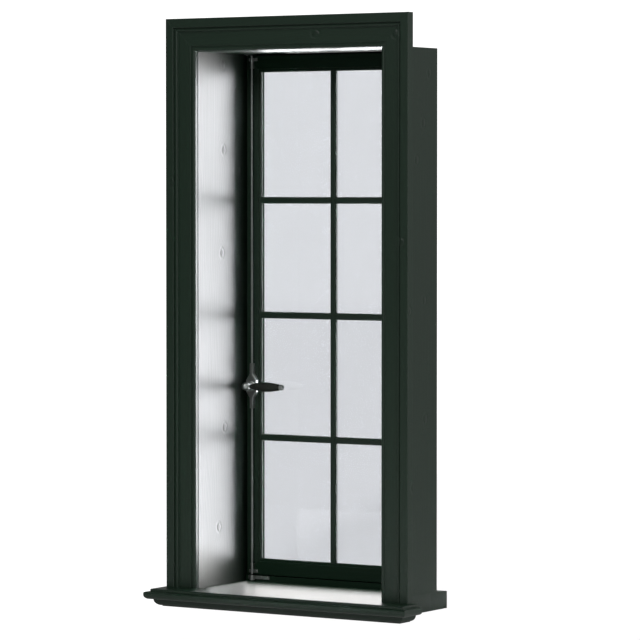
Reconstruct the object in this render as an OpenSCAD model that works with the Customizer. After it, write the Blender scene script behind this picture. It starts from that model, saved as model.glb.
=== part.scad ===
// Casement window: a deep painted timber reveal with moulded casings, a window board and one
// inward-opening glazed sash, hung on the right and locked by a cremone bolt on the left stile.
// Millimetres. X to the right, Y away from the room, Z up. The origin is on the wall plane
// (the back of the casings), midway across, at the underside of the window board.

/* [Casing] */
// Width over both casings
casing_outer_w = 770; // [620:1:1100]
// Height of the casings above the window board
casing_h = 1550; // [1260:1:1950]
// Width of one casing, back band included
casing_w = 89; // [84:1:110]
// Thickness of the flat casing board
casing_t = 15; // [14:0.5:22]
// Thickness of the back band around the casing
band_t = 25; // [24:0.5:34]
// How much of the lining edge stays uncovered beside the casing
lining_margin = 1; // [1:0.5:5]

/* [Lining box] */
// Thickness of the lining boards
lining_t = 6; // [6:0.5:18]
// Depth of the lining box behind the wall plane
box_depth = 267; // [225:1:360]
// Radius of the fixing holes in the head lining
fixing_r = 2.5; // [2:0.25:4]
// Spacing of the fixing holes across the window
fixing_across = 400; // [200:1:480]
// Spacing of the fixing holes front to back
fixing_deep = 120; // [80:1:140]

/* [Window board] */
// Thickness of the window board and of the outer sill
board_t = 48; // [44:1:60]
// How far the nose stands in front of the back band
nose_out = 66; // [50:1:90]
// How far each horn runs past the casing
horn_out = 31; // [24:1:50]
// How far the outer sill stands out behind the lining box
sill_out = 54; // [20:1:80]
// Fall of the outer sill's top over its width
sill_fall = 1.7; // [1:0.1:6]
// Height of the bed moulding under the nose
bed_h = 20; // [18:1:24]

/* [Fixed frame] */
// Height of the frame sill under the sash
frame_sill_h = 16.5; // [14:0.5:24]
// Width of the hinge post beside the sash
hinge_post_w = 26; // [24:0.5:40]
// Thickness of the stop that the sash shuts against
stop_t = 7; // [6:0.5:10]
// How far the stop laps over the sash
stop_lap = 11; // [9:0.5:14]

/* [Sash] */
// Depth from the wall plane to the room face of the sash
reveal_depth = 235; // [195:1:300]
// Thickness of the sash
sash_t = 30; // [28:0.5:36]
// Width of the stiles and rails, moulding included
stile_w = 46; // [42:1:60]
// Gap beside the sash
side_gap = 3; // [1.5:0.5:4]
// Gap over the sash
head_gap = 4.5; // [3:0.5:6]
// Gap under the sash
sill_gap = 2.5; // [2:0.5:5]
// Face width of the glazing bars
bar_w = 19; // [18:0.5:24]
// Height of the lowest bar above the window board
bar_height_low = 401; // [380:1:430]
// Height of the middle bar above the window board
bar_height_mid = 740; // [640:1:800]
// Height of the highest bar above the window board
bar_height_high = 1057; // [900:1:1120]
// Thickness of the glass
glass_t = 4; // [3:0.5:6]

/* [Hinges] */
// Height of the lowest hinge above the window board
hinge_height_low = 180; // [120:1:260]
// Distance of the highest hinge below the top of the sash
hinge_below_top = 160; // [120:1:260]
// Length of a hinge
hinge_l = 90; // [75:1:110]
// Diameter of the hinge pins
hinge_pin_d = 5; // [4:0.5:6]
// Wall of a hinge knuckle
knuckle_wall = 1.9; // [1.6:0.1:2.4]
// Thickness of a hinge leaf
leaf_t = 2; // [1.5:0.5:3]

/* [Cremone bolt] */
// Height of the lever above the window board
lever_height = 543; // [450:1:640]
// Distance of the bolt's axis from the free edge of the sash
bolt_inset = 21; // [20:0.5:24]
// Diameter of the bolt rods
rod_d = 6; // [5.5:0.5:8]
// Distance of the rod axis in front of the sash
rod_out = 7; // [6.5:0.5:9]
// Length of the lever from its axis to its tip
lever_l = 124; // [100:1:150]
// Distance of the lever's axis in front of the sash
lever_out = 38; // [36:0.5:46]
// Largest radius of the lever grip
grip_r = 13.5; // [10:0.25:15]
// Diameter of the spindle
spindle_d = 8; // [7:0.5:8]

/* [Hidden] */
$fn = 48;

paint = "#27322b";
pewter = "#8f9089";
rubber = "#1b1c1b";
running = 0.05;  // radial clearance of turning and sliding fits
over = 1;        // how far a cutting solid runs past the face it cuts

// Casing
outer_x = casing_outer_w / 2;
inner_x = outer_x - casing_w;
board_z = board_t;
casing_top = board_z + casing_h;
band_lap = 14;   // width of the band beside the casing board's outer edge
band_w = 38;     // width of the whole band

// Lining
lining_x = inner_x - lining_margin;
box_x = lining_x + lining_t;
head_z = casing_top - casing_w - lining_margin;
box_top = head_z + lining_t;
fixing_y = reveal_depth / 2;

// Window board
nose_x = outer_x + horn_out;
nose_y = -(band_t + nose_out);
sill_back = box_depth + sill_out;
bed_inset = 20;  // how far the bed moulding stands back from the nose
bed_r = 18;      // radius of the bed moulding
tongue = 12;     // how far the board's full thickness runs in front of the wall plane
pilot_r = 2;     // pilot holes in the underside of the board
pilot_depth = 30;
pilot_y = 100;   // middle of the pilot pattern behind the wall plane

// Sash
face_y = reveal_depth;
back_y = face_y + sash_t;
sash_x0 = -lining_x + side_gap;
sash_x1 = lining_x - hinge_post_w - side_gap;
sash_z0 = board_z + frame_sill_h + sill_gap;
sash_z1 = head_z - head_gap;
mould_w = 9;     // width of the moulding inside a stile's flat
mould_d = 8;     // depth from the face to the glass
quirk = 2.5;     // step at the start of the moulding
lip = 8;         // width of the lip that the glass rests against
stop_gap = 3;    // room between sash and stop for the seal
rebate_w = stop_lap + 2;
rebate_y = box_depth - stop_t - stop_gap;
rebate_d = rebate_y - face_y;
stop_y = box_depth - stop_t;
web_w = 4;       // web of a glazing bar, between the panes
web_end = 20;    // depth from the face to the end of the web
bar_front = 3;   // depth from the face to the front of a bar
bar_round = mould_d - bar_front;
bar_x = (sash_x0 + sash_x1) / 2;
bar_z = [for (h = [bar_height_low, bar_height_mid, bar_height_high]) board_z + h];
glass_y = face_y + mould_d;
pane_play = 1;   // play around each pane
cell_x = [[sash_x0 + stile_w - lip, bar_x - web_w / 2], [bar_x + web_w / 2, sash_x1 - stile_w + lip]];
cell_edge = concat([sash_z0 + stile_w - lip - web_w / 2], bar_z, [sash_z1 - stile_w + lip + web_w / 2]);

// Hinges
pin_r = hinge_pin_d / 2;
knuckle_r = pin_r + knuckle_wall;
pin_x = sash_x1 + side_gap / 2;
pin_y = face_y - knuckle_r - 0.4;
leaf_w = 24;
leaf_gap = 0.6;  // room between a leaf and the other leaf's knuckle
hinge_z = [board_z + hinge_height_low,
           (board_z + hinge_height_low + sash_z1 - hinge_below_top) / 2,
           sash_z1 - hinge_below_top];
knuckle_l = hinge_l / 3;
knuckle_gap = 0.5;
leaf_screw_step = 30;
tip_h = 4;

// Cremone bolt
axis_x = sash_x0 + bolt_inset;
axis_z = board_z + lever_height;
rod_r = rod_d / 2;
rod_y = face_y - rod_out;
turn = 90;                      // degrees the lever turns
tooth_module = 1;
tooth_count = 12;
pitch_r = tooth_module * tooth_count / 2;
throw = pitch_r * PI * turn / 180;
pressure = 25;
addendum = 0.8 * tooth_module;
dedendum = 1.05 * tooth_module;
backlash = 0.12;
rack_t = 2.45;                  // rack bar behind the teeth
rack_w = 5;
pinion_w = 6;
cross_z = 9.5;                  // where the rod's crank crosses the axis
cross_h = 4;
plate_t = 2;
cover_wall = 2;
cover_y = rod_y - rod_r - 0.5 - cover_wall;
cavity_x = pitch_r + dedendum + rack_t + 0.7;
cavity_z = cross_z + cross_h + throw + 0.5;
channel = rod_r + 0.4;
boss_r = 13;
boss_h = 4.5;
neck_gap = 0.4;
ball_r = 12;
ball_y = face_y - lever_out;
bolt_rest = 1;                  // rod ends stop this far inside the sash edges
guide_l = 28;
guide_r = rod_r + 1.5;
guide_foot = [28, 1.5, 9];
guide_screw = 10;
keeper_bore = rod_r + 1;
keeper_ring_r = 8;
strike_t = 2;

// Screws
screw_r = 1.5;
screw_head_r = 3;
screw_head_h = 1.4;
screw_l = 16;
tip_to_glass = 2;  // room between the tips of the case's screws and the glass

function arc(x, y, r, a0, a1, n = 8) =
    [for (i = [0:n]) let (a = a0 + (a1 - a0) * i / n) [x + r * cos(a), y + r * sin(a)]];

// Extrusions along the three axes: the points are [y, z], [x, z] and [x, y]
module along_x(points, x0, x1)
    translate([x0, 0, 0]) rotate([90, 0, 90]) linear_extrude(x1 - x0) polygon(points);
module along_y(points, y0, y1)
    translate([0, y1, 0]) rotate([90, 0, 0]) linear_extrude(y1 - y0) polygon(points);
module along_z(points, z0, z1)
    translate([0, 0, z0]) linear_extrude(z1 - z0) polygon(points);
module box(lo, hi)
    translate(lo) cube(hi - lo);
module rod_x(x0, x1, y, z, r)
    translate([x0, y, z]) rotate([0, 90, 0]) cylinder(h = x1 - x0, r = r);
module rod_along_y(x, y0, y1, z, r)
    translate([x, y1, z]) rotate([90, 0, 0]) cylinder(h = y1 - y0, r = r);
module rod_z(x, y, z0, z1, r)
    translate([x, y, z0]) cylinder(h = z1 - z0, r = r);
module flip_x()
    mirror([1, 0, 0]) children();

// Outlines. Casing and band: [distance in from the outer edge, height off the wall]
function band_outline() = concat(
    [[0, 0], [band_lap, 0], [band_lap, casing_t], [band_w, casing_t], [band_w, casing_t + 1.7],
     [band_w - 3, casing_t + 1.7]],
    arc(band_w - 6.5, casing_t + 3, 3.5, 0, 180),
    [[band_w - 10, casing_t + 3.5], [band_w - 13, casing_t + 3.5]],
    arc(band_w - 15, band_t - 2, 2, 0, 90),
    arc(2, band_t - 2, 2, 90, 180));
function casing_outline() = concat(
    [[band_lap, 0], [casing_w, 0]],
    arc(casing_w - 5.5, casing_t - 5.5, 5.5, 0, 150, 10),
    [[casing_w - 13.5, casing_t - 2.75], [casing_w - 13.5, casing_t - 0.8],
     [casing_w - 14.3, casing_t], [band_lap, casing_t]]);

// Mitred run up one side, and the run across the head between its mitres
module side_run(outline) intersection() {
    along_z([for (p = outline) [-outer_x + p[0], -p[1]]], board_z, casing_top);
    along_y([[-outer_x - over, board_z - over], [-outer_x + casing_w + over, board_z - over],
             [-outer_x + casing_w + over, casing_top - casing_w - over],
             [-outer_x - over, casing_top + over]], -band_t - over, over);
}
module head_run(outline) intersection() {
    along_x([for (p = outline) [-p[1], casing_top - p[0]]], -outer_x, outer_x);
    along_y([[-outer_x - over, casing_top + over], [outer_x + over, casing_top + over],
             [inner_x - over, casing_top - casing_w - over],
             [-inner_x + over, casing_top - casing_w - over]], -band_t - over, over);
}

module casing_left() color(paint) side_run(casing_outline());
module casing_right() color(paint) flip_x() side_run(casing_outline());
module casing_head() color(paint) head_run(casing_outline());
module band_left() color(paint) side_run(band_outline());
module band_right() color(paint) flip_x() side_run(band_outline());
module band_head() color(paint) head_run(band_outline());

// Edge of the board's nose: [distance in from the nose's furthest point, height]
nose_edge = concat(
    [[14 + bed_r + bed_inset, bed_h], [12, bed_h]],
    arc(12, bed_h + 12, 12, 270, 180),
    arc(4, board_t - 12, 4, 180, 90, 4),
    [[14, board_t - 8]],
    arc(16.5, board_t - 2.5, 2.5, 180, 90, 4),
    [[14 + bed_r + bed_inset, board_t]]);
bed_edge = concat(
    [[bed_inset + bed_r + 14, 0], [bed_inset + bed_r, 0]],
    arc(bed_inset + bed_r, bed_h, bed_r, 270, 180),
    [[bed_inset + bed_r + 14, bed_h]]);

// A board with the same moulded edge at its front and at both ends, back to the wall plane
module nose_board(edge, last) intersection() {
    along_x(concat([for (p = edge) [nose_y + p[0], p[1]]],
                   [[0, last[1]], [0, last[0]]]), -nose_x, nose_x);
    along_y(concat([for (p = edge) [-nose_x + p[0], p[1]]],
                   [for (i = [len(edge) - 1:-1:0]) [nose_x - edge[i][0], edge[i][1]]]),
            nose_y, 0);
}
module board_slab() box([-box_x, -tongue, 0], [box_x, face_y, board_t]);
module window_board() color(paint) difference() {
    union() {
        nose_board(nose_edge, [bed_h, board_t]);
        board_slab();
    }
    for (x = [-fixing_across / 2, fixing_across / 2], y = [-fixing_deep / 2, fixing_deep / 2])
        rod_z(x, pilot_y + y, -over, pilot_depth, pilot_r);
}
module bed_moulding() color(paint) difference() {
    nose_board(bed_edge, [0, bed_h]);
    board_slab();
}
module outer_sill() color(paint) difference() {
    along_x([[face_y, 0], [sill_back, 0], [sill_back, board_t - sill_fall], [box_depth, board_t],
             [face_y, board_t]], -box_x, box_x);
    // drip groove
    box([-box_x - over, sill_back - 16, -over], [box_x + over, sill_back - 10, 5]);
}

module lining_left() color(paint) box([-box_x, 0, board_z], [-lining_x, box_depth, head_z]);
module lining_right() color(paint) flip_x() lining_left();
module lining_head() color(paint) difference() {
    box([-box_x, 0, head_z], [box_x, box_depth, box_top]);
    for (x = [-fixing_across / 2, fixing_across / 2], y = [-fixing_deep / 2, fixing_deep / 2])
        rod_z(x, fixing_y + y, head_z - over, box_top + over, fixing_r);
    rod_z(axis_x, rod_y, head_z - over, box_top + over, keeper_bore);
    upper_keeper_screws();
}

module frame_sill() color(paint) difference() {
    box([-lining_x, face_y, board_z], [lining_x, box_depth, board_z + frame_sill_h]);
    lower_keeper_screws();
}
module hinge_post() color(paint) difference() {
    box([lining_x - hinge_post_w, face_y, board_z + frame_sill_h], [lining_x, box_depth, head_z]);
    frame_leaf_screws();
}
stop_z0 = board_z + frame_sill_h;
module stop_left() color(paint)
    box([-lining_x, stop_y, sash_z0 + stop_lap], [sash_x0 + stop_lap, box_depth, sash_z1 - stop_lap]);
module stop_right() color(paint)
    box([sash_x1 - stop_lap, stop_y, sash_z0 + stop_lap],
        [lining_x - hinge_post_w, box_depth, sash_z1 - stop_lap]);
module stop_head() color(paint)
    box([-lining_x, stop_y, sash_z1 - stop_lap], [lining_x - hinge_post_w, box_depth, head_z]);
module stop_bottom() color(paint)
    box([-lining_x, stop_y, stop_z0], [lining_x - hinge_post_w, box_depth, sash_z0 + stop_lap]);
seal_edge = 2.5;  // how far the seal lies inside the sash's edge
seal_w = 6;
seal_free = 0.4;
module frame_seal() color(rubber) difference() {
    box([sash_x0 + seal_edge, rebate_y + seal_free, sash_z0 + seal_edge],
        [sash_x1 - seal_edge, stop_y, sash_z1 - seal_edge]);
    box([sash_x0 + seal_edge + seal_w, rebate_y - over, sash_z0 + seal_edge + seal_w],
        [sash_x1 - seal_edge - seal_w, stop_y + over, sash_z1 - seal_edge - seal_w]);
}

// Sash members. Outline: [distance in from the sash's edge, depth from its face]
function sash_outline() = concat(
    arc(1.2, 1.2, 1.2, 180, 270, 4),
    arc(stile_w - mould_w - 1, 1, 1, 270, 360, 4),
    [[stile_w - mould_w, quirk], [stile_w - mould_d + quirk, quirk]],
    arc(stile_w - mould_d + quirk, mould_d, mould_d - quirk, 270, 360),
    [[stile_w - lip, mould_d], [stile_w - lip, sash_t], [rebate_w, sash_t], [rebate_w, rebate_d],
     [0, rebate_d]]);
module upright_run() intersection() {
    along_z([for (p = sash_outline()) [sash_x0 + p[0], face_y + p[1]]], sash_z0, sash_z1);
    along_y([[sash_x0 - over, sash_z0 - over], [sash_x0 + stile_w + over, sash_z0 + stile_w + over],
             [sash_x0 + stile_w + over, sash_z1 - stile_w - over], [sash_x0 - over, sash_z1 + over]],
            face_y - over, back_y + over);
}
module level_run(top) intersection() {
    along_x([for (p = sash_outline()) [face_y + p[1], top ? sash_z1 - p[0] : sash_z0 + p[0]]],
            sash_x0, sash_x1);
    along_y([for (p = [[sash_x0 - over, -over], [sash_x1 + over, -over],
                       [sash_x1 - stile_w - over, stile_w + over],
                       [sash_x0 + stile_w + over, stile_w + over]])
             [p[0], top ? sash_z1 - p[1] : sash_z0 + p[1]]], face_y - over, back_y + over);
}
module stile_left_solid() upright_run();
module stile_right_solid() translate([sash_x0 + sash_x1, 0, 0]) flip_x() upright_run();
module stile_left() color(paint) difference() {
    stile_left_solid();
    guide_screws();
    cover_screws();
}
module stile_right() color(paint) difference() {
    stile_right_solid();
    sash_leaf_screws();
}
module rail_top() color(paint) difference() {
    level_run(true);
    guide_screws();
}
module rail_bottom() color(paint) difference() {
    level_run(false);
    guide_screws();
}

// Glazing bars: a moulded front on the glass and a thin web between the panes
function bar_outline() = concat(
    [[-web_w / 2, web_end], [-web_w / 2, mould_d], [-bar_w / 2, mould_d]],
    arc(-bar_w / 2 + bar_round, mould_d, bar_round, 180, 270),
    arc(bar_w / 2 - bar_round, mould_d, bar_round, 270, 360),
    [[web_w / 2, mould_d], [web_w / 2, web_end]]);
module upright_bar_run()
    along_z([for (p = bar_outline()) [bar_x + p[0], face_y + p[1]]],
            sash_z0 + stile_w - lip, sash_z1 - stile_w + lip);
module bar_upright() color(paint) difference() {
    upright_bar_run();
    level_run(true);
    level_run(false);
}
module level_bar(z) color(paint) difference() {
    along_x([for (p = bar_outline()) [face_y + p[1], z + p[0]]],
            sash_x0 + stile_w - lip, sash_x1 - stile_w + lip);
    upright_bar_run();
    stile_left_solid();
    stile_right_solid();
}
module bar_low() level_bar(bar_z[0]);
module bar_mid() level_bar(bar_z[1]);
module bar_high() level_bar(bar_z[2]);

// Panes, counted from the bottom row
function cell(row, col) = [[cell_x[col][0], cell_edge[row] + web_w / 2],
                           [cell_x[col][1], cell_edge[row + 1] - web_w / 2]];
module pane(row, col) {
    lo = cell(row, col)[0];
    hi = cell(row, col)[1];
    color("#c9d6d8", 0.35)
        box([lo[0] + pane_play, glass_y, lo[1] + pane_play],
            [hi[0] - pane_play, glass_y + glass_t, hi[1] - pane_play]);
}
bead_w = 7.5;
bead_y0 = glass_y + glass_t;
bead_y1 = face_y + web_end;
// A mitred ring of triangular bead, widest on the glass
module bead_ring(row, col) {
    lo = cell(row, col)[0];
    hi = cell(row, col)[1];
    run = (bead_w + over * bead_w / (bead_y1 - bead_y0));
    difference() {
        box([lo[0], bead_y0, lo[1]], [hi[0], bead_y1, hi[1]]);
        intersection() {
            along_x([[bead_y0 - over, lo[1] + run], [bead_y1, lo[1]], [bead_y1 + over, lo[1]],
                     [bead_y1 + over, hi[1]], [bead_y1, hi[1]], [bead_y0 - over, hi[1] - run]],
                    lo[0] - over, hi[0] + over);
            along_z([[lo[0] + run, bead_y0 - over], [hi[0] - run, bead_y0 - over],
                     [hi[0], bead_y1], [hi[0], bead_y1 + over],
                     [lo[0], bead_y1 + over], [lo[0], bead_y1]],
                    lo[1] - over, hi[1] + over);
        }
    }
}
module glazing_beads() color(paint) for (row = [0:3], col = [0:1]) bead_ring(row, col);

// Screws: pan head on the surface, shank in a pilot of the same radius
module screw_to_back(x, y, z, length = screw_l) {
    rod_along_y(x, y, y + length, z, screw_r);
    difference() {
        rod_along_y(x, y - screw_head_h, y, z, screw_head_r);
        box([x - screw_head_r, y - screw_head_h - over, z - 0.35],
            [x + screw_head_r, y - screw_head_h / 2, z + 0.35]);
    }
}
module frame_leaf_screws() for (z = hinge_z, k = [-1:1])
    screw_to_back(pin_x + leaf_w - 8, face_y - leaf_t, z + k * leaf_screw_step);
module sash_leaf_screws() for (z = hinge_z, k = [-1:1])
    screw_to_back(pin_x - leaf_w + 8, face_y - leaf_t, z + k * leaf_screw_step);
module guide_screws() for (z = [upper_foot_z, lower_foot_z], s = [-1, 1])
    screw_to_back(axis_x + s * guide_screw, face_y - guide_foot[1], z);
module cover_screws() for (s = [-1, 1], k = [-1, 1])
    screw_to_back(axis_x + s * cover_screw[0], cover_y, axis_z + k * cover_screw[1],
                  glass_y - tip_to_glass - cover_y);
module lower_keeper_screws() for (x = keeper_screw_x)
    screw_to_back(x, face_y - keeper_plate_t, keeper_plate_z);
module upper_keeper_screws() for (s = [-1, 1]) {
    x = axis_x + s * 7;
    rod_z(x, strike_screw_y, head_z - strike_t, head_z + lining_t - over, screw_r);
    rod_z(x, strike_screw_y, head_z - strike_t - screw_head_h, head_z - strike_t, screw_head_r);
}

// Hinges: two knuckles on the fixed leaf, one on the sash's leaf, one pin
module knuckle(z0, z1, bore) difference() {
    rod_z(pin_x, pin_y, z0, z1, knuckle_r);
    rod_z(pin_x, pin_y, z0 - over, z1 + over, bore);
}
module frame_leaf(z) color(pewter) difference() {
    union() {
        box([pin_x + knuckle_r + leaf_gap, face_y - leaf_t, z - hinge_l / 2],
            [pin_x + leaf_w, face_y, z + hinge_l / 2]);
        for (s = [-1, 1]) {
            lo = z + s * (hinge_l - knuckle_l) / 2 - knuckle_l / 2;
            rod_z(pin_x, pin_y, lo, lo + knuckle_l, knuckle_r);
            box([pin_x, face_y - leaf_t, lo], [pin_x + knuckle_r + leaf_gap + over, face_y - 0.4,
                 lo + knuckle_l]);
        }
    }
    rod_z(pin_x, pin_y, z - hinge_l / 2 - over, z + hinge_l / 2 + over, pin_r);
    frame_leaf_screws();
}
module sash_leaf(z) color(pewter) difference() {
    half = knuckle_l / 2 - knuckle_gap;
    union() {
        box([pin_x - leaf_w, face_y - leaf_t, z - hinge_l / 2],
            [pin_x - knuckle_r - leaf_gap, face_y, z + hinge_l / 2]);
        rod_z(pin_x, pin_y, z - half, z + half, knuckle_r);
        box([pin_x - knuckle_r - leaf_gap - over, face_y - leaf_t, z - half],
            [pin_x, face_y - 0.4, z + half]);
    }
    rod_z(pin_x, pin_y, z - hinge_l / 2 - over, z + hinge_l / 2 + over, pin_r + running);
    sash_leaf_screws();
}
module frame_leaf_low() frame_leaf(hinge_z[0]);
module frame_leaf_mid() frame_leaf(hinge_z[1]);
module frame_leaf_high() frame_leaf(hinge_z[2]);
module sash_leaf_low() sash_leaf(hinge_z[0]);
module sash_leaf_mid() sash_leaf(hinge_z[1]);
module sash_leaf_high() sash_leaf(hinge_z[2]);
// One pin, with a turned tip past each end of the hinge
module hinge_pins() color(pewter) for (z = hinge_z) {
    rod_z(pin_x, pin_y, z - hinge_l / 2, z + hinge_l / 2, pin_r);
    for (s = [-1, 1])
        translate([pin_x, pin_y, z + s * hinge_l / 2]) scale([1, 1, s])
            rotate_extrude() polygon(concat([[0, 0], [knuckle_r - 0.6, 0]],
                arc(0, 1, knuckle_r - 1, 0, 90), [[0, 0]]));
}

// Keepers
strike_screw_y = rod_y - 14;
module upper_keeper() color(pewter) difference() {
    box([axis_x - 12, strike_screw_y - 6, head_z - strike_t], [axis_x + 12, rod_y + 7, head_z]);
    rod_z(axis_x, rod_y, head_z - strike_t - over, head_z + over, keeper_bore);
    upper_keeper_screws();
}
keeper_plate_t = 3;
keeper_plate_z = board_z + frame_sill_h - 5.5;
keeper_screw_x = [axis_x + 27, axis_x + 46];
module lower_keeper() color(pewter) difference() {
    union() {
        rod_z(axis_x, rod_y, board_z + 3.5, board_z + frame_sill_h + 1, keeper_ring_r);
        box([axis_x - 16, face_y - keeper_plate_t, keeper_plate_z - 4.5],
            [axis_x + 54, face_y, keeper_plate_z + 4.5]);
    }
    box([axis_x - 16 - over, face_y, board_z], [axis_x + 54 + over, face_y + 10, sash_z0]);
    rod_z(axis_x, rod_y, board_z, sash_z0, keeper_bore);
    lower_keeper_screws();
}

// Rod guides: a tube over the rod and a foot with two screws
upper_foot_z = sash_z1 - 10;
lower_foot_z = sash_z0 + 9;
module guide(z0, foot_z) color(pewter) difference() {
    union() {
        rod_z(axis_x, rod_y, z0, z0 + guide_l, guide_r);
        box([axis_x - guide_foot[0] / 2, face_y - guide_foot[1], foot_z - guide_foot[2] / 2],
            [axis_x + guide_foot[0] / 2, face_y, foot_z + guide_foot[2] / 2]);
        box([axis_x - 3, rod_y, z0], [axis_x + 3, face_y, z0 + guide_l]);
    }
    rod_z(axis_x, rod_y, z0 - over, z0 + guide_l + over, rod_r + running);
    guide_screws();
}
module upper_guide() guide(sash_z1 - 7 - guide_l, upper_foot_z);
module lower_guide() guide(sash_z0 + 3, lower_foot_z);

// Cremone case. Half outline: [half width, height from the lever's axis]
cover_screw = [13, 12.5];
plate_half = [[17, 16], [channel + 2, 33], [channel + 1.6, 50], [channel + 1.2, 62]];
function lozenge(grow) = concat(
    [for (p = plate_half) [axis_x + p[0] + grow, axis_z + p[1] + grow]],
    [for (i = [3:-1:0]) [axis_x - plate_half[i][0] - grow, axis_z + plate_half[i][1] + grow]],
    [for (p = plate_half) [axis_x - p[0] - grow, axis_z - p[1] - grow]],
    [for (i = [3:-1:0]) [axis_x + plate_half[i][0] + grow, axis_z - plate_half[i][1] - grow]]);
module cremone_plate() color(pewter) difference() {
    along_y(lozenge(0), face_y - plate_t, face_y);
    rod_along_y(axis_x, face_y - plate_t - over, face_y + over, axis_z, spindle_d / 2 + running);
    cover_screws();
}
module cremone_cover() color(pewter) difference() {
    union() {
        along_y(lozenge(0), cover_y + 1.2, face_y - plate_t);
        along_y(lozenge(-1), cover_y, face_y - plate_t);
        rod_along_y(axis_x, cover_y - boss_h, cover_y + over, axis_z, boss_r);
    }
    box([axis_x - cavity_x, cover_y + cover_wall, axis_z - cavity_z],
        [axis_x + cavity_x, face_y, axis_z + cavity_z]);
    box([axis_x - channel, cover_y + cover_wall, axis_z - plate_half[3][1] - over],
        [axis_x + channel, face_y, axis_z + plate_half[3][1] + over]);
    rod_along_y(axis_x, cover_y - boss_h - over, face_y, axis_z, spindle_d / 2 + running);
    cover_screws();
}

// Rods. The foot of each is cranked to a rack beside the pinion
rack_pitch = PI * tooth_module;
tooth_half = rack_pitch / 4 - backlash / 4;
rack_x = pitch_r + dedendum;
rack_teeth = [for (k = [-5:0]) (k + 0.5) * rack_pitch];
rack_z0 = rack_teeth[0] - rack_pitch / 2;
// Crank and rack of the upper rod, drawn about the lever's axis
module rod_foot() {
    along_y([[-rack_x - rack_t, rack_z0], [-rack_x, rack_z0], [-rack_x, cross_z],
             [rod_r, cross_z], [rod_r, cross_z + cross_h], [-rack_x - rack_t, cross_z + cross_h]],
            rod_y - rack_w / 2, rod_y + rack_w / 2);
    for (z = rack_teeth)
        along_y([[-rack_x - 0.2, z - tooth_half - dedendum * tan(pressure)],
                 [-rack_x, z - tooth_half - dedendum * tan(pressure)],
                 [-pitch_r + addendum, z - tooth_half + addendum * tan(pressure)],
                 [-pitch_r + addendum, z + tooth_half - addendum * tan(pressure)],
                 [-rack_x, z + tooth_half + dedendum * tan(pressure)],
                 [-rack_x - 0.2, z + tooth_half + dedendum * tan(pressure)]],
                rod_y - rack_w / 2, rod_y + rack_w / 2);
}
module upper_rod() color(pewter) {
    translate([axis_x, 0, axis_z]) rod_foot();
    rod_z(axis_x, rod_y, axis_z + cross_z + cross_h / 2, sash_z1 - bolt_rest, rod_r);
}
module lower_rod() color(pewter) {
    translate([axis_x, 0, axis_z]) rotate([0, 180, 0]) rod_foot();
    rod_z(axis_x, rod_y, sash_z0 + bolt_rest, axis_z - cross_z - cross_h / 2, rod_r);
}

// Pinion with involute teeth. One tooth points along +X when the bolts are drawn
base_r = pitch_r * cos(pressure);
tip_r = pitch_r + addendum;
root_r = pitch_r - dedendum;
function roll(r) = tan(acos(base_r / r)) * 180 / PI - acos(base_r / r);
half_tooth = 90 / tooth_count - backlash / 4 / pitch_r * 180 / PI;
function flank(r) = half_tooth + roll(pitch_r) - roll(r);
flank_r = [for (i = [0:4]) base_r + (tip_r - base_r) * i / 4];
tooth = concat([[root_r, -flank(base_r)]], [for (r = flank_r) [r, -flank(r)]],
               [for (i = [4:-1:0]) [flank_r[i], flank(flank_r[i])]], [[root_r, flank(base_r)]]);
pinion_outline = [for (k = [0:tooth_count - 1], t = tooth)
    let (a = k * 360 / tooth_count + t[1]) [axis_x + t[0] * cos(a), axis_z + t[0] * sin(a)]];
module pinion() color(pewter) difference() {
    along_y(pinion_outline, rod_y - pinion_w / 2, rod_y + pinion_w / 2);
    rod_along_y(axis_x, rod_y - pinion_w, rod_y + pinion_w, axis_z, spindle_d / 2);
}
neck_back = cover_y - boss_h - neck_gap;
module spindle() color(pewter)
    rod_along_y(axis_x, neck_back, face_y - 0.5, axis_z, spindle_d / 2);

// Lever, turning about Y: a waisted neck that ends in a ball, then ferrule, grip and cap along X
module lever_neck() color(pewter) {
    waist = sqrt(ball_r * ball_r - 49);
    translate([axis_x, neck_back, axis_z]) rotate([90, 0, 0]) rotate_extrude()
        polygon(concat([[0, 0], [10.5, 0]], arc(10.5, 1.2, 1.2, 270, 360, 4),
            [[9, 3.5], [7, 7]],
            arc(0, neck_back - ball_y, ball_r, asin(-waist / ball_r), 90, 16)));
}
ferrule_x0 = axis_x + sqrt(ball_r * ball_r - 16);
grip_x0 = axis_x + ball_r + 2;
cap_l = 11;
cap_round = 5;
grip_x1 = axis_x + lever_l - cap_l;
grip_start = 4;
grip_end = 8;
// Radius along the grip, from its narrow start through its widest point to the cap
function grip_radius(t) = t < 0.5
    ? grip_start + (grip_r - grip_start) * pow(sin(180 * t), 0.8)
    : grip_end + (grip_r - grip_end) * cos(180 * (t - 0.5));
module along_lever(x0) translate([x0, ball_y, axis_z]) rotate([0, 90, 0]) rotate_extrude() children();
module lever_ferrule() color(pewter) difference() {
    rod_x(axis_x + 6, grip_x0, ball_y, axis_z, grip_start);
    translate([axis_x, ball_y, axis_z]) sphere(ball_r);
}
module lever_grip() color("#30322c") along_lever(grip_x0)
    polygon(concat([[0, 0]], [for (i = [0:24]) let (t = i / 24)
        [grip_radius(t), (grip_x1 - grip_x0) * t]], [[0, grip_x1 - grip_x0]]));
module lever_cap() color(pewter) along_lever(grip_x1)
    polygon(concat([[0, 0], [grip_end + 0.3, 0], [grip_end + 0.3, 1.5], [grip_end - 0.6, 2.2]],
        arc(grip_end - 0.6 - cap_round, cap_l - cap_round, cap_round, 0, 90), [[0, cap_l]]));

module frame_screws() color(pewter) {
    frame_leaf_screws();
    lower_keeper_screws();
    upper_keeper_screws();
}
module sash_screws() color(pewter) {
    sash_leaf_screws();
    guide_screws();
    cover_screws();
}

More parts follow.
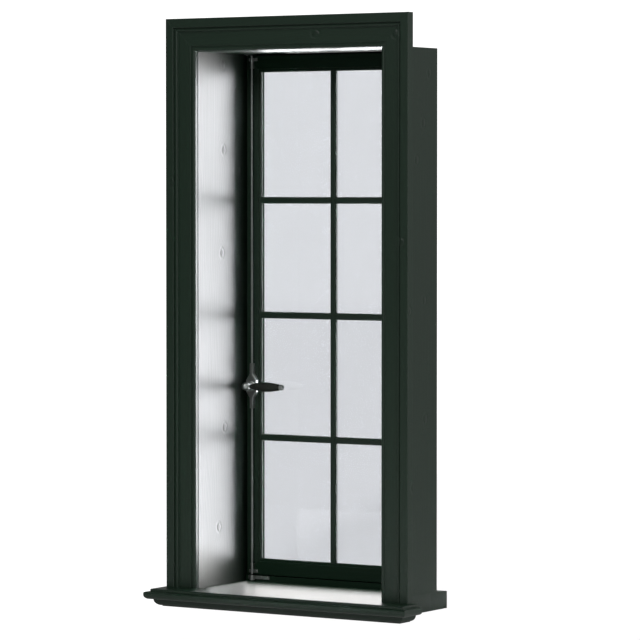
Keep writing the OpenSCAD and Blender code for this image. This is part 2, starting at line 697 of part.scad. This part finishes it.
casing_left();
casing_right();
casing_head();
band_left();
band_right();
band_head();
window_board();
bed_moulding();
outer_sill();
lining_left();
lining_right();
lining_head();
frame_sill();
hinge_post();
stop_left();
stop_right();
stop_head();
stop_bottom();
frame_seal();
frame_leaf_low();
frame_leaf_mid();
frame_leaf_high();
hinge_pins();
upper_keeper();
lower_keeper();
frame_screws();
stile_left();
stile_right();
rail_top();
rail_bottom();
bar_upright();
bar_low();
bar_mid();
bar_high();
pane(0, 0);  // pane_1_left
pane(0, 1);  // pane_1_right
pane(1, 0);  // pane_2_left
pane(1, 1);  // pane_2_right
pane(2, 0);  // pane_3_left
pane(2, 1);  // pane_3_right
pane(3, 0);  // pane_4_left
pane(3, 1);  // pane_4_right
glazing_beads();
sash_leaf_low();
sash_leaf_mid();
sash_leaf_high();
cremone_plate();
cremone_cover();
upper_guide();
lower_guide();
sash_screws();
upper_rod();
lower_rod();
spindle();
pinion();
lever_neck();
lever_ferrule();
lever_grip();
lever_cap();
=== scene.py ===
"""Casement window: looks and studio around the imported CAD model, in metres, in the CAD frame."""

import math

import bpy
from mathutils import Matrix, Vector


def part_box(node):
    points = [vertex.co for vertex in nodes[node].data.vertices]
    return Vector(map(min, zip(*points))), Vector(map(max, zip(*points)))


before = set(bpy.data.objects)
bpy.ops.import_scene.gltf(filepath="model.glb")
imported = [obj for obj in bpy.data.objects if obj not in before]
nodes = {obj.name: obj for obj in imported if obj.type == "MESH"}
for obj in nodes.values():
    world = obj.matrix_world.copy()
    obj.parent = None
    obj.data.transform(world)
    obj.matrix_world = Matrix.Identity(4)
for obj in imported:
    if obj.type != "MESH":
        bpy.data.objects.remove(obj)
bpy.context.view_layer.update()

# ---------------------------------------------------------------- node helpers


class Graph:
    """Adds nodes to a shader tree; a value may be a number or another node's output."""

    def __init__(self, tree):
        self.tree = tree
        tree.nodes.clear()

    def put(self, socket, value):
        if isinstance(value, bpy.types.NodeSocket):
            self.tree.links.new(value, socket)
        elif value is not None:
            socket.default_value = value

    def node(self, kind, inputs=(), **settings):
        made = self.tree.nodes.new(kind)
        for name, value in settings.items():
            setattr(made, name, value)
        for key, value in dict(inputs).items():
            self.put(made.inputs[key], value)
        return made

    def math(self, operation, a, b=None, c=None, clamp=False):
        made = self.node("ShaderNodeMath", operation=operation, use_clamp=clamp)
        for socket, value in zip(made.inputs, (a, b, c)):
            self.put(socket, value)
        return made.outputs[0]

    def vector(self, operation, a, b=None, output=0):
        made = self.node("ShaderNodeVectorMath", operation=operation)
        self.put(made.inputs[0], a)
        if b is not None:
            self.put(made.inputs[1], b)
        return made.outputs[output]

    def join(self, x, y, z=0.0):
        return self.node("ShaderNodeCombineXYZ", {"X": x, "Y": y, "Z": z}).outputs[0]

    def remap(self, value, low, high, to_low=0.0, to_high=1.0):
        return self.node(
            "ShaderNodeMapRange",
            {"Value": value, "From Min": low, "From Max": high,
             "To Min": to_low, "To Max": to_high},
            interpolation_type="SMOOTHSTEP",
        ).outputs[0]

    def noise(self, vector, scale, detail=3.0, rough=0.5, distortion=0.0):
        return self.node(
            "ShaderNodeTexNoise",
            {"Vector": vector, "Scale": scale, "Detail": detail, "Roughness": rough,
             "Distortion": distortion},
        ).outputs["Fac"]

    def mix(self, factor, a, b):
        made = self.node("ShaderNodeMix", data_type="RGBA")
        self.put(made.inputs[0], factor)
        self.put(made.inputs[6], a)
        self.put(made.inputs[7], b)
        return made.outputs[2]

    def bump(self, height, strength, distance, normal=None):
        return self.node(
            "ShaderNodeBump",
            {"Height": height, "Strength": strength, "Distance": distance, "Normal": normal},
        ).outputs[0]


def material(name):
    made = bpy.data.materials.new(name)
    made.use_nodes = True
    return made, Graph(made.node_tree)


def finish_with(g, inputs):
    shader = g.node("ShaderNodeBsdfPrincipled", inputs)
    g.node("ShaderNodeOutputMaterial", {"Surface": shader.outputs[0]})
    return shader


def dress(names, made):
    for name in names:
        slots = nodes[name].data.materials
        slots.clear()
        slots.append(made)


IOR = 1.5  # paint, glass and lacquer
BEVEL_SAMPLES = 6

# ------------------------------------------------------------ painted softwood

PAINT_DARK = (0.0034, 0.0150, 0.0068, 1.0)
PAINT_LIGHT = (0.0062, 0.0250, 0.0118, 1.0)
PAINT_WORN = (0.030, 0.050, 0.036, 1.0)
ALONG_X, ALONG_Z = 0, 2
KNOT_STRETCH = 1.35      # knots are this much longer along the board than across it
KNOT_CELLS = 3.1         # cells per metre, with one knot in each
RING_PHASE = 620.0       # radians per metre of the sine that makes the growth rings
WOOD_EDGE = 0.0009       # radius that edges seem eased to
WOOD_RELIEF = 0.00028


def painted_wood(name, along, knots=None, roughness=0.42, relief=1.0, gloss=0.5, painted_shade_scale=1.0):
    """Dark green satin paint brushed along the grain of a softwood board.

    along is the axis the board runs on. knots are places (across, along) in metres; without them
    knots are scattered. across is the sum of the two other coordinates, so the figure runs on
    round a board's corner. relief scales the grain's height, gloss is the strength of the
    paint's reflection, and the last argument darkens the colour as painted shade, for a board that
    the lamps light more than it should be lit (1.0 paints no shade)."""
    made, g = material(name)
    place = g.node("ShaderNodeTexCoord").outputs["Object"]
    split = g.node("ShaderNodeSeparateXYZ", {"Vector": place})
    parts = [split.outputs[i] for i in range(3)]
    length = parts.pop(along)
    across = g.math("ADD", parts[0], parts[1])

    def stretched(over, on, third=0.0):
        return g.join(g.math("MULTIPLY", across, over), g.math("MULTIPLY", length, on), third)

    # distance to the nearest knot, in a plane where the knots are round
    flat = g.join(g.math("MULTIPLY", across, KNOT_STRETCH), length)
    if knots:
        near = None
        for u, v in knots:
            gap = g.vector("DISTANCE", flat, (u * KNOT_STRETCH, v, 0.0), output=1)
            near = gap if near is None else g.math("MINIMUM", near, gap)
    else:
        cell = g.node("ShaderNodeTexVoronoi",
                      {"Vector": flat, "Scale": KNOT_CELLS, "Randomness": 1.0},
                      voronoi_dimensions="2D")
        near = g.math("DIVIDE", cell.outputs["Distance"], KNOT_CELLS)
    wobble = g.noise(flat, 60.0, 2.0)
    near = g.math("ADD", near, g.math("MULTIPLY_ADD", wobble, 0.010, -0.005))
    knot = g.remap(near, 0.004, 0.0125, 1.0, 0.0)
    rim = g.math("MULTIPLY", g.remap(near, 0.007, 0.012),
                 g.remap(near, 0.013, 0.021, 1.0, 0.0))
    swell = g.remap(near, 0.0, 0.055, 1.0, 0.0)

    # growth rings: bands across the board that bend slowly along it and part round the knots
    drift = g.noise(stretched(7.0, 0.9), 1.0, 2.0)
    wander = g.noise(stretched(42.0, 1.3), 1.0, 3.0)
    rings = g.math("MULTIPLY_ADD", drift, 0.16, across)
    rings = g.math("MULTIPLY_ADD", wander, 0.034, rings)
    rings = g.math("MULTIPLY_ADD", swell, 0.020, rings)
    band = g.math("SINE", g.math("MULTIPLY", rings, RING_PHASE))
    band = g.math("POWER", g.math("MULTIPLY_ADD", band, 0.5, 0.5), 2.2)
    fibre = g.noise(stretched(900.0, 9.0, g.math("MULTIPLY", drift, 3.0)), 1.0, 4.0, 0.6)
    brush = g.noise(stretched(300.0, 2.2), 1.0, 3.0)
    orange = g.noise(place, 420.0, 2.0)

    height = g.math("MULTIPLY", band, 0.30)
    for layer, share in ((fibre, 0.34), (brush, 0.36), (orange, 0.10), (knot, 2.4), (rim, -2.0)):
        height = g.math("MULTIPLY_ADD", layer, share, height)

    # edges: rounded for the light, and the paint rubbed thin on the sharpest of them
    eased = g.node("ShaderNodeBevel", {"Radius": WOOD_EDGE}, samples=BEVEL_SAMPLES).outputs[0]
    true = g.node("ShaderNodeNewGeometry").outputs["Normal"]
    turned = g.vector("DOT_PRODUCT", eased, true, output=1)
    edge = g.remap(turned, 0.80, 0.985, 1.0, 0.0)
    rubbed = g.math("MULTIPLY", edge, g.remap(g.noise(place, 38.0, 4.0, 0.65), 0.52, 0.66))

    patch = g.noise(stretched(9.0, 1.6), 1.0, 3.0)
    tone = g.math("MULTIPLY_ADD", band, 0.25, g.math("MULTIPLY", patch, 0.55))
    tone = g.math("MULTIPLY_ADD", fibre, 0.30, tone)
    tone = g.math("SUBTRACT", tone, g.math("MULTIPLY", knot, 0.35), clamp=True)
    # painted shade: both paint colours are scaled down here for a board that should be in more
    # shade than the lamps give it
    dark, light = ([v * painted_shade_scale for v in paint[:3]] + [1.0] for paint in (PAINT_DARK, PAINT_LIGHT))
    colour = g.mix(tone, dark, light)
    colour = g.mix(g.math("MULTIPLY", rubbed, 0.6), colour, PAINT_WORN)
    rough = g.math("MULTIPLY_ADD", fibre, 0.10, roughness - 0.05)
    rough = g.math("MULTIPLY_ADD", patch, 0.06, rough)
    rough = g.math("MULTIPLY_ADD", rubbed, 0.15, rough)
    normal = g.bump(height, 0.55 * relief, WOOD_RELIEF, eased)
    finish_with(g, {"Base Color": colour, "Roughness": rough, "Normal": normal, "IOR": IOR,
                    "Specular IOR Level": gloss})
    return made


# the clearest knots under the paint, as (depth in the wall, height), and the X of their faces
REVEAL_KNOTS = ((0.124, 1.478), (0.124, 1.243), (0.116, 0.960), (0.128, 0.482), (0.098, 0.208))
SIDE_KNOTS = ((0.2247, 1.4466), (0.195, 1.313), (0.160, 1.214), (0.1999, 0.8393), (0.205, 0.52),
              (0.09, 0.21))
reveal_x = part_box("lining_left")[1].x
side_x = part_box("lining_right")[1].x

upright = painted_wood("paint_upright", ALONG_Z, relief=1.5)
level = painted_wood("paint_level", ALONG_X, relief=1.5)
sheltered = painted_wood("paint_sheltered", ALONG_X, gloss=0.22)
# painted shade: the left reveal's paint is darkened to 0.4, standing in for shade that the lamps
# do not give it
reveal_left = painted_wood("paint_reveal_left_painted_shade", ALONG_Z,
                           [(reveal_x + y, z) for y, z in REVEAL_KNOTS],
                           roughness=0.37, relief=1.2, painted_shade_scale=0.4)
reveal_right = painted_wood("paint_reveal_right", ALONG_Z,
                            [(side_x + y, z) for y, z in SIDE_KNOTS])
board = painted_wood("paint_board", ALONG_X, roughness=0.34)

dress(["casing_left", "casing_right", "band_left", "band_right", "hinge_post", "stop_left",
       "stop_right", "stile_left", "stile_right", "bar_upright"], upright)
dress(["casing_head", "band_head", "bed_moulding", "outer_sill", "lining_head", "bar_low",
       "bar_mid", "bar_high"], level)
dress(["frame_sill", "stop_head", "stop_bottom", "rail_top", "rail_bottom", "glazing_beads"],
      sheltered)
dress(["window_board"], board)
dress(["lining_left"], reveal_left)
dress(["lining_right"], reveal_right)

# ----------------------------------------------------------------------- glass

GLASS_CLEAN = (0.768, 0.777, 0.795, 1.0)
GLASS_DUSTY = (0.754, 0.763, 0.780, 1.0)
PANES = [f"pane_{row}_{side}" for row in range(1, 5) for side in ("left", "right")]


def window_glass():
    """Float glass: clear with a cool tint and faint patches of dust, a mirror by Fresnel."""
    made, g = material("float_glass")
    place = g.node("ShaderNodeTexCoord").outputs["Object"]
    wave = g.noise(place, 5.5, 1.0)
    normal = g.bump(wave, 0.05, 0.01)
    dust = g.remap(g.noise(place, 46.0, 5.0, 0.7), 0.50, 0.85)
    tint = g.mix(dust, GLASS_CLEAN, GLASS_DUSTY)
    clear = g.node("ShaderNodeBsdfTransparent", {"Color": tint})
    mirror = g.node("ShaderNodeBsdfGlossy", {"Color": (0.9, 0.93, 0.95, 1.0), "Roughness": 0.03,
                                            "Normal": normal})
    share = g.node("ShaderNodeFresnel", {"IOR": IOR, "Normal": normal})
    both = g.node("ShaderNodeMixShader",
                  {0: share.outputs[0], 1: clear.outputs[0], 2: mirror.outputs[0]})
    g.node("ShaderNodeOutputMaterial", {"Surface": both.outputs[0]})
    return made


dress(PANES, window_glass())

# ---------------------------------------------------------------------- metals

PEWTER_DARK = (0.25, 0.27, 0.26, 1.0)
PEWTER_LIGHT = (0.58, 0.60, 0.58, 1.0)
PEWTER_ROUGH = 0.34
METAL_EDGE = 0.0007


def worn_pewter():
    """Pewter with a mottled tone, fine upright scratches and edges rubbed lighter."""
    made, g = material("worn_pewter")
    place = g.node("ShaderNodeTexCoord").outputs["Object"]
    eased = g.node("ShaderNodeBevel", {"Radius": METAL_EDGE}, samples=BEVEL_SAMPLES).outputs[0]
    cloud = g.noise(place, 55.0, 5.0, 0.62)
    speck = g.noise(place, 900.0, 2.0, 0.5)
    split = g.node("ShaderNodeSeparateXYZ", {"Vector": place})
    lines = g.noise(g.join(g.math("MULTIPLY", split.outputs[0], 1500.0),
                           g.math("MULTIPLY", split.outputs[1], 1500.0),
                           g.math("MULTIPLY", split.outputs[2], 40.0)), 1.0, 2.0)
    true = g.node("ShaderNodeNewGeometry").outputs["Normal"]
    edge = g.remap(g.vector("DOT_PRODUCT", eased, true, output=1), 0.75, 0.99, 1.0, 0.0)
    tone = g.math("MULTIPLY_ADD", cloud, 0.8, g.math("MULTIPLY", speck, 0.25))
    tone = g.math("MULTIPLY_ADD", edge, 0.4, tone, clamp=True)
    colour = g.mix(tone, PEWTER_DARK, PEWTER_LIGHT)
    roughness = g.math("MULTIPLY_ADD", cloud, 0.16, PEWTER_ROUGH - 0.06)
    height = g.math("MULTIPLY_ADD", lines, 0.5, g.math("MULTIPLY", speck, 0.4))
    normal = g.bump(height, 0.30, 0.00012, eased)
    finish_with(g, {"Base Color": colour, "Metallic": 1.0, "Roughness": roughness,
                    "Normal": normal})
    return made


dress(["frame_leaf_low", "frame_leaf_mid", "frame_leaf_high", "hinge_pins", "upper_keeper",
       "lower_keeper", "frame_screws", "sash_leaf_low", "sash_leaf_mid", "sash_leaf_high",
       "cremone_plate", "cremone_cover", "upper_guide", "lower_guide", "sash_screws", "upper_rod",
       "lower_rod", "spindle", "pinion", "lever_neck", "lever_ferrule", "lever_cap"],
      worn_pewter())


def dark_grip():
    """Dark lacquer with turning lines round the grip and a cloudy tone."""
    made, g = material("dark_bronze_grip")
    place = g.node("ShaderNodeTexCoord").outputs["Object"]
    split = g.node("ShaderNodeSeparateXYZ", {"Vector": place})
    cloud = g.noise(place, 70.0, 5.0, 0.6)
    rings = g.noise(g.join(g.math("MULTIPLY", split.outputs[0], 1400.0), 0.0, 0.0), 1.0, 3.0)
    tone = g.math("MULTIPLY_ADD", rings, 0.4, g.math("MULTIPLY", cloud, 0.6))
    colour = g.mix(tone, (0.010, 0.012, 0.009, 1.0), (0.032, 0.036, 0.030, 1.0))
    rough = g.math("MULTIPLY_ADD", cloud, 0.14, 0.30)
    height = g.math("MULTIPLY_ADD", cloud, 0.5, g.math("MULTIPLY", rings, 0.5))
    finish_with(g, {"Base Color": colour, "Roughness": rough,
                    "Normal": g.bump(height, 0.35, 0.0002), "IOR": IOR,
                    "Specular IOR Level": 0.2})
    return made


def seal_rubber():
    """Matt black rubber with a fine grain."""
    made, g = material("black_rubber")
    place = g.node("ShaderNodeTexCoord").outputs["Object"]
    grain = g.noise(place, 700.0, 3.0, 0.6)
    colour = g.mix(grain, (0.010, 0.010, 0.010, 1.0), (0.028, 0.028, 0.027, 1.0))
    finish_with(g, {"Base Color": colour, "Roughness": g.math("MULTIPLY_ADD", grain, 0.2, 0.55),
                    "Normal": g.bump(grain, 0.3, 0.0003)})
    return made


dress(["lever_grip"], dark_grip())
dress(["frame_seal"], seal_rubber())

# ---------------------------------------------------------------------- studio

WHITE = (1.0, 1.0, 1.0, 1.0)
FLOOR_X, FLOOR_FRONT, FLOOR_BACK, FLOOR_Z = 14.0, -2.2, 24.0, -0.0005
FLOOR_FADE = 13.0                   # from here to the back the floor brightens to the sky
# the floor is dimmer inside a painted shadow of the window (the third value) than outside it (the
# second)
SKY_SEEN, FLOOR_MID, FLOOR_IN_PAINTED_SHADOW = 1.23, 1.15, 1.01  # brightness that the camera sees
SKY_DIM, SKY_BRIGHT = 0.10, 0.45    # brightness that lights the window, by side
BRIGHT_SIDE = (0.85, 0.53, 0.0)     # way to the brightest part of the sky
DAYLIGHT = (0.978, 0.955, 0.945)
PANE_RADIANCE = 36.0
PANE_COVERED = 0.007                # strip of each pane that the bars hide, all round
BEHIND_GLASS = 0.002
STRIP_X = (-0.16, 0.24)             # the strips of light below and above the panes
WINDOW_MIDDLE = (0.0, 0.0, 0.8)
UNLIT = ["window_board", "lever_cap", "lever_grip"]  # pieces that the panes' light leaves out

floor_mesh = bpy.data.meshes.new("studio_floor")
floor_mesh.from_pydata([(-FLOOR_X, FLOOR_FRONT, FLOOR_Z), (FLOOR_X, FLOOR_FRONT, FLOOR_Z),
                        (FLOOR_X, FLOOR_BACK, FLOOR_Z), (-FLOOR_X, FLOOR_BACK, FLOOR_Z)],
                       [], [(0, 1, 2, 3)])
floor = bpy.data.objects.new("studio_floor", floor_mesh)
bpy.context.collection.objects.link(floor)


def pale_floor():
    """A pale floor that glows white for the camera, with a painted shadow of the window, and is
    matt for the rest.
    """
    made, g = material("studio_floor")
    place = g.node("ShaderNodeTexCoord").outputs["Object"]
    split = g.node("ShaderNodeSeparateXYZ", {"Vector": place})
    x, y = split.outputs[0], split.outputs[1]
    # painted shadow: the camera's floor glow dims on the near side of a slanting line behind the
    # window, where the window's shadow would fall
    across_painted_shadow_edge = g.math("MULTIPLY_ADD", y, 0.38, g.math("MULTIPLY", x, 0.93))
    near = g.remap(across_painted_shadow_edge, -0.46, -0.20, FLOOR_MID, FLOOR_IN_PAINTED_SHADOW)
    far = g.math("MAXIMUM", near, g.remap(y, FLOOR_FADE, FLOOR_BACK, FLOOR_IN_PAINTED_SHADOW, SKY_SEEN))
    shown = g.node("ShaderNodeEmission", {"Color": (1.0, 0.998, 1.0, 1.0), "Strength": far})
    plain = g.node("ShaderNodeBsdfDiffuse", {"Color": (0.75, 0.75, 0.75, 1.0)})
    glow = g.node("ShaderNodeEmission", {"Color": WHITE, "Strength": 0.12})
    unseen = g.node("ShaderNodeAddShader", {0: plain.outputs[0], 1: glow.outputs[0]})
    seen = g.node("ShaderNodeLightPath").outputs["Is Camera Ray"]
    both = g.node("ShaderNodeMixShader", {0: seen, 1: unseen.outputs[0], 2: shown.outputs[0]})
    g.node("ShaderNodeOutputMaterial", {"Surface": both.outputs[0]})
    return made


floor.data.materials.append(pale_floor())

# sky: grey and brighter on one side where it lights the window, plain white for the camera
world = bpy.data.worlds.new("studio")
world.use_nodes = True
bpy.context.scene.world = world
sky = Graph(world.node_tree)
way = sky.node("ShaderNodeTexCoord").outputs["Generated"]
strength = sky.remap(sky.vector("DOT_PRODUCT", way, BRIGHT_SIDE, output=1), -0.95, 0.95,
                     SKY_DIM, SKY_BRIGHT)
soft = sky.node("ShaderNodeBackground", {"Color": WHITE, "Strength": strength})
white = sky.node("ShaderNodeBackground", {"Color": WHITE, "Strength": SKY_SEEN})
direct = sky.node("ShaderNodeLightPath").outputs["Is Camera Ray"]
backdrop = sky.node("ShaderNodeMixShader", {0: direct, 1: soft.outputs[0], 2: white.outputs[0]})
sky.node("ShaderNodeOutputWorld", {"Surface": backdrop.outputs[0]})


def panel(name, place, aim, width, height, radiance, colour=(1.0, 1.0, 1.0)):
    """A soft box of the given radiance that the camera does not see."""
    lamp = bpy.data.lights.new(name, "AREA")
    lamp.shape = "RECTANGLE"
    lamp.size, lamp.size_y = width, height
    lamp.energy = radiance * math.pi * width * height
    lamp.color = colour
    made = bpy.data.objects.new(name, lamp)
    bpy.context.collection.objects.link(made)
    made.location = place
    towards = Vector(aim) - Vector(place)
    made.rotation_euler = towards.to_track_quat("-Z", "Y").to_euler()
    made.visible_camera = False
    return made


def share_out(lamp, lit=(), unlit=()):
    """Let a light fall only on the lit pieces, or on everything but the unlit ones."""
    pieces = bpy.data.collections.new(lamp.name + "_pieces")
    for piece in list(lit) + list(unlit):
        pieces.objects.link(nodes[piece])
    if unlit:
        for entry in pieces.collection_objects:
            entry.light_linking.link_state = "EXCLUDE"
    lamp.light_linking.receiver_collection = pieces


def window_light(name, y, x0, x1, z0, z1, radiance):
    """Daylight that comes in through the sash: a soft box facing the room."""
    x, z = (x0 + x1) / 2, (z0 + z1) / 2
    return panel(name, (x, y, z), (x, y - 1.0, z), x1 - x0, z1 - z0, radiance, DAYLIGHT)


board_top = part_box("window_board")[1].z
head_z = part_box("lining_head")[0].z
sash_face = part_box("stile_left")[0].y
front = sash_face - 0.004

# one light behind each pane
for pane in PANES:
    low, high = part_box(pane)
    lamp = window_light(pane.replace("pane", "daylight"), high.y + BEHIND_GLASS,
                        low.x + PANE_COVERED, high.x - PANE_COVERED,
                        low.z + PANE_COVERED, high.z - PANE_COVERED, PANE_RADIANCE)
    share_out(lamp, unlit=UNLIT)

# strips in front of the sash: name, x range, z range, radiance and the piece each one lights
for name, across, upward, radiance, piece in (
        ("daylight_low", STRIP_X, (board_top, board_top + 0.08), 14.0, "lining_left"),
        ("daylight_high", STRIP_X, (head_z - 0.045, head_z), 11.0, "lining_left"),
        ("daylight_head", STRIP_X, (head_z - 0.06, head_z), 0.6, "lining_head"),
        ("daylight_board", (-0.293, 0.29), (board_top + 0.030, board_top + 0.12), 4.8,
         "window_board")):
    share_out(window_light(name, front, *across, *upward, radiance), lit=[piece])

# the left reveal's shine on the window board
glow_y, glow_z = sash_face * 0.6, board_top + 0.05
share_out(panel("reveal_glow", (reveal_x + 0.002, glow_y, glow_z), (1.0, glow_y, glow_z),
                sash_face * 0.8, 0.09, 1.1), lit=["window_board"])

# soft boxes in the room
panel("key_front", (0.2, -6.1, 4.6), WINDOW_MIDDLE, 2.5, 2.5, 8.5)
panel("soft_right", (3.4, -0.6, 1.3), WINDOW_MIDDLE, 1.6, 2.4, 2.2)

# ---------------------------------------------------------------------- camera

CAMERA_PLACE = (5.273, -8.137, 1.1415)
CAMERA_TURN = (87.90, 0.0, 32.46)  # degrees
cam_data = bpy.data.cameras.new("camera")
cam_data.lens = 203.96
cam_data.sensor_width = 36.0
cam_data.clip_end = 100.0
camera = bpy.data.objects.new("camera", cam_data)
bpy.context.collection.objects.link(camera)
camera.location = CAMERA_PLACE
camera.rotation_euler = [math.radians(turn) for turn in CAMERA_TURN]
bpy.context.scene.camera = camera
bpy.context.scene.view_settings.view_transform = "Standard"
